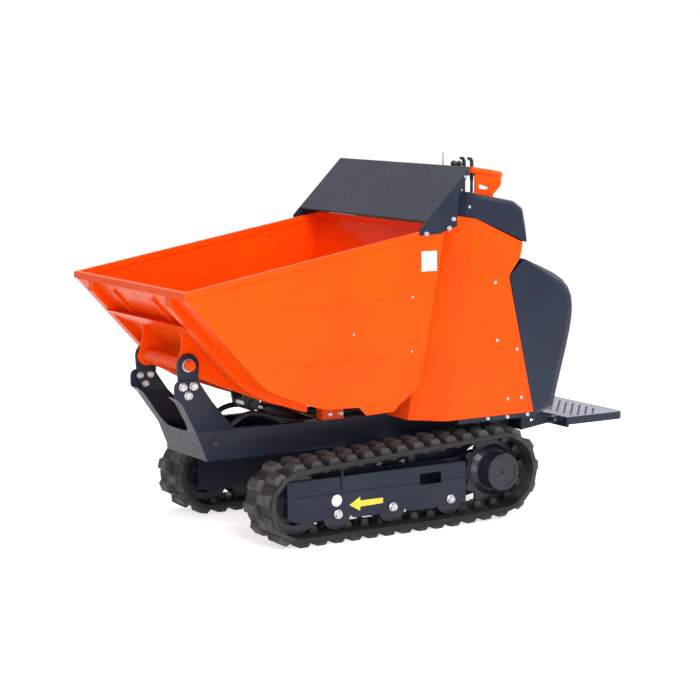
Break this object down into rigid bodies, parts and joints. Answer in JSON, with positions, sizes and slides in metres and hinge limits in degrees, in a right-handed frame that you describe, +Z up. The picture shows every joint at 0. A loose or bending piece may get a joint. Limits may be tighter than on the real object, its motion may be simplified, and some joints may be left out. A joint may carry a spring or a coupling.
{
  "type": "tracked mini dumper",
  "caption": "Tracked mini dumper: rubber track belts carry a frame with a front tipping skip, an engine cowl with control levers and a folding rear footplate.",
  "frame": {"origin": "middle of the bounding box at ground level, between the tracks", "axes": "-X is the driving direction towards the skip lip, +X the operator end, -Y the machine's left side, +Z up"},
  "size_m": [2.014, 0.8846, 1.36],
  "materials": {
    "orange_paint": "gloss powder coat",
    "dark_paint": "satin powder coat",
    "moulding": "fine grain moulding with a sheen",
    "track_rubber": "matt",
    "zinc_steel": "zinc plated",
    "black_metal": "satin black",
    "black_plastic": "satin black",
    "tread_paint": "pale satin",
    "cast_metal": "painted casting",
    "engine_metal": "raw casting"
  },
  "bodies": {
    "chassis": {"chassis_frame": "dark_paint", "pivot_ear_left": "dark_paint", "pivot_ear_right": "dark_paint", "track_frame_left": "dark_paint", "track_belt_left": "track_rubber", "drive_motor_left": "cast_metal", "track_frame_right": "dark_paint", "track_belt_right": "track_rubber", "drive_motor_right": "cast_metal", "lift_hose_left": "track_rubber", "lift_hose_right": "track_rubber", "cowl_left": "orange_paint", "cowl_right": "orange_paint", "cowl_front": "orange_paint", "cowl_back": "orange_paint", "console_hood": "moulding", "deck_plate": "dark_paint", "engine_block": "engine_metal", "hydraulic_pump": "cast_metal", "exhaust_muffler": "black_metal", "air_filter": "black_plastic", "fuel_tank": "black_plastic", "oil_tank": "black_plastic", "battery": "black_plastic", "control_plate": "dark_paint", "lever_shaft": "zinc_steel", "valve_bank": "cast_metal", "handlebar": "orange_paint", "platform_bracket": "dark_paint", "footplate_pin": "zinc_steel"},
    "skip": {"skip_tub": "orange_paint", "skip_underframe": "orange_paint", "pivot_pin_left": "orange_paint", "pivot_pin_right": "orange_paint", "cylinder_clevis": "black_metal", "clevis_pin": "zinc_steel", "spill_guard": "dark_paint"},
    "tipping_rod": {"cylinder_rod": "zinc_steel"},
    "tipping_barrel": {"cylinder_barrel": "black_metal"},
    "yoke_left": {"tension_yoke_left": "zinc_steel"},
    "idler_left": {"idler_wheel_left": "cast_metal"},
    "roller_left_1": {"bottom_roller_left_1": "cast_metal"},
    "roller_left_2": {"bottom_roller_left_2": "cast_metal"},
    "roller_left_3": {"bottom_roller_left_3": "cast_metal"},
    "sprocket_left": {"drive_sprocket_left": "cast_metal"},
    "yoke_right": {"tension_yoke_right": "zinc_steel"},
    "idler_right": {"idler_wheel_right": "cast_metal"},
    "roller_right_1": {"bottom_roller_right_1": "cast_metal"},
    "roller_right_2": {"bottom_roller_right_2": "cast_metal"},
    "roller_right_3": {"bottom_roller_right_3": "cast_metal"},
    "sprocket_right": {"drive_sprocket_right": "cast_metal"},
    "drive_stick_left": {"drive_lever_left": "black_plastic"},
    "drive_stick_right": {"drive_lever_right": "black_plastic"},
    "tip_stick": {"tip_lever": "black_plastic"},
    "speed_stick": {"speed_lever": "black_plastic"},
    "throttle_stick": {"throttle_lever": "zinc_steel"},
    "footplate": {"footplate_frame": "moulding", "footplate_tread": "tread_paint"},
    "cover": {"rear_cover": "moulding"}
  },
  "joints": [
    {"name": "skip_tip", "type": "hinge", "parent": "chassis", "child": "skip", "pos_m": [-0.854, 0, 0.644], "axis": [0, -1, 0], "range_deg": [0, 75]},
    {"name": "rod_swing", "type": "hinge", "parent": "skip", "child": "tipping_rod", "pos_m": [-0.532, 0, 0.463], "axis": [0, 1, 0], "range_deg": [0, 104.14]},
    {"name": "barrel_slide", "type": "slide", "parent": "tipping_rod", "child": "tipping_barrel", "axis": [0.9325, 0, -0.3612], "range_m": [0, 0.2928]},
    {"name": "sprocket_turn_left", "type": "hinge", "parent": "chassis", "child": "sprocket_left", "pos_m": [0.333, -0.334, 0.181], "axis": [0, -1, 0], "continuous": true},
    {"name": "tension_slide_left", "type": "slide", "parent": "chassis", "child": "yoke_left", "axis": [1, 0, 0], "range_m": [0, 0.02]},
    {"name": "idler_turn_left", "type": "hinge", "parent": "yoke_left", "child": "idler_left", "pos_m": [-0.54, -0.334, 0.15], "axis": [0, -1, 0], "continuous": true},
    {"name": "roller_turn_left_1", "type": "hinge", "parent": "chassis", "child": "roller_left_1", "pos_m": [-0.37099, -0.334, 0.097], "axis": [0, -1, 0], "continuous": true},
    {"name": "roller_turn_left_2", "type": "hinge", "parent": "chassis", "child": "roller_left_2", "pos_m": [-0.13598, -0.334, 0.097], "axis": [0, -1, 0], "continuous": true},
    {"name": "roller_turn_left_3", "type": "hinge", "parent": "chassis", "child": "roller_left_3", "pos_m": [0.11903, -0.334, 0.097], "axis": [0, -1, 0], "continuous": true},
    {"name": "sprocket_turn_right", "type": "hinge", "parent": "chassis", "child": "sprocket_right", "pos_m": [0.333, 0.334, 0.181], "axis": [0, -1, 0], "continuous": true},
    {"name": "tension_slide_right", "type": "slide", "parent": "chassis", "child": "yoke_right", "axis": [1, 0, 0], "range_m": [0, 0.02]},
    {"name": "idler_turn_right", "type": "hinge", "parent": "yoke_right", "child": "idler_right", "pos_m": [-0.54, 0.334, 0.15], "axis": [0, -1, 0], "continuous": true},
    {"name": "roller_turn_right_1", "type": "hinge", "parent": "chassis", "child": "roller_right_1", "pos_m": [-0.37099, 0.334, 0.097], "axis": [0, -1, 0], "continuous": true},
    {"name": "roller_turn_right_2", "type": "hinge", "parent": "chassis", "child": "roller_right_2", "pos_m": [-0.13598, 0.334, 0.097], "axis": [0, -1, 0], "continuous": true},
    {"name": "roller_turn_right_3", "type": "hinge", "parent": "chassis", "child": "roller_right_3", "pos_m": [0.11903, 0.334, 0.097], "axis": [0, -1, 0], "continuous": true},
    {"name": "drive_lever_left_tilt", "type": "hinge", "parent": "chassis", "child": "drive_stick_left", "pos_m": [0.287, -0.26, 1.128], "axis": [0, -1, 0], "range_deg": [-12, 12], "stiffness_Nm_per_rad": 6},
    {"name": "drive_lever_right_tilt", "type": "hinge", "parent": "chassis", "child": "drive_stick_right", "pos_m": [0.287, -0.211, 1.128], "axis": [0, -1, 0], "range_deg": [-12, 12], "stiffness_Nm_per_rad": 6},
    {"name": "tip_lever_tilt", "type": "hinge", "parent": "chassis", "child": "tip_stick", "pos_m": [0.287, -0.144, 1.128], "axis": [0, -1, 0], "range_deg": [-10, 10], "stiffness_Nm_per_rad": 4},
    {"name": "speed_lever_tilt", "type": "hinge", "parent": "chassis", "child": "speed_stick", "pos_m": [0.287, -0.179, 1.128], "axis": [0, -1, 0], "range_deg": [-10, 10]},
    {"name": "throttle_tilt", "type": "hinge", "parent": "chassis", "child": "throttle_stick", "pos_m": [0.287, -0.074, 1.128], "axis": [0, -1, 0], "range_deg": [-10, 12]},
    {"name": "footplate_fold", "type": "hinge", "parent": "chassis", "child": "footplate", "pos_m": [0.709, 0, 0.32], "axis": [0, -1, 0], "range_deg": [0, 85]},
    {"name": "rear_cover_open", "type": "hinge", "parent": "chassis", "child": "cover", "pos_m": [0.444, 0, 0.972], "axis": [0, -1, 0], "range_deg": [0, 60]}
  ],
  "couplings": [
    {"joint": "rod_swing", "follows": "skip_tip", "ratio": 1.3878},
    {"joint": "barrel_slide", "follows": "skip_tip", "m_per_rad": 0.2235},
    {"joint": "idler_turn_left", "follows": "sprocket_turn_left", "ratio": 1.1726},
    {"joint": "roller_turn_left_1", "follows": "sprocket_turn_left", "ratio": 2.2083},
    {"joint": "roller_turn_left_2", "follows": "sprocket_turn_left", "ratio": 2.2083},
    {"joint": "roller_turn_left_3", "follows": "sprocket_turn_left", "ratio": 2.2083},
    {"joint": "idler_turn_right", "follows": "sprocket_turn_right", "ratio": 1.1726},
    {"joint": "roller_turn_right_1", "follows": "sprocket_turn_right", "ratio": 2.2083},
    {"joint": "roller_turn_right_2", "follows": "sprocket_turn_right", "ratio": 2.2083},
    {"joint": "roller_turn_right_3", "follows": "sprocket_turn_right", "ratio": 2.2083}
  ]
}
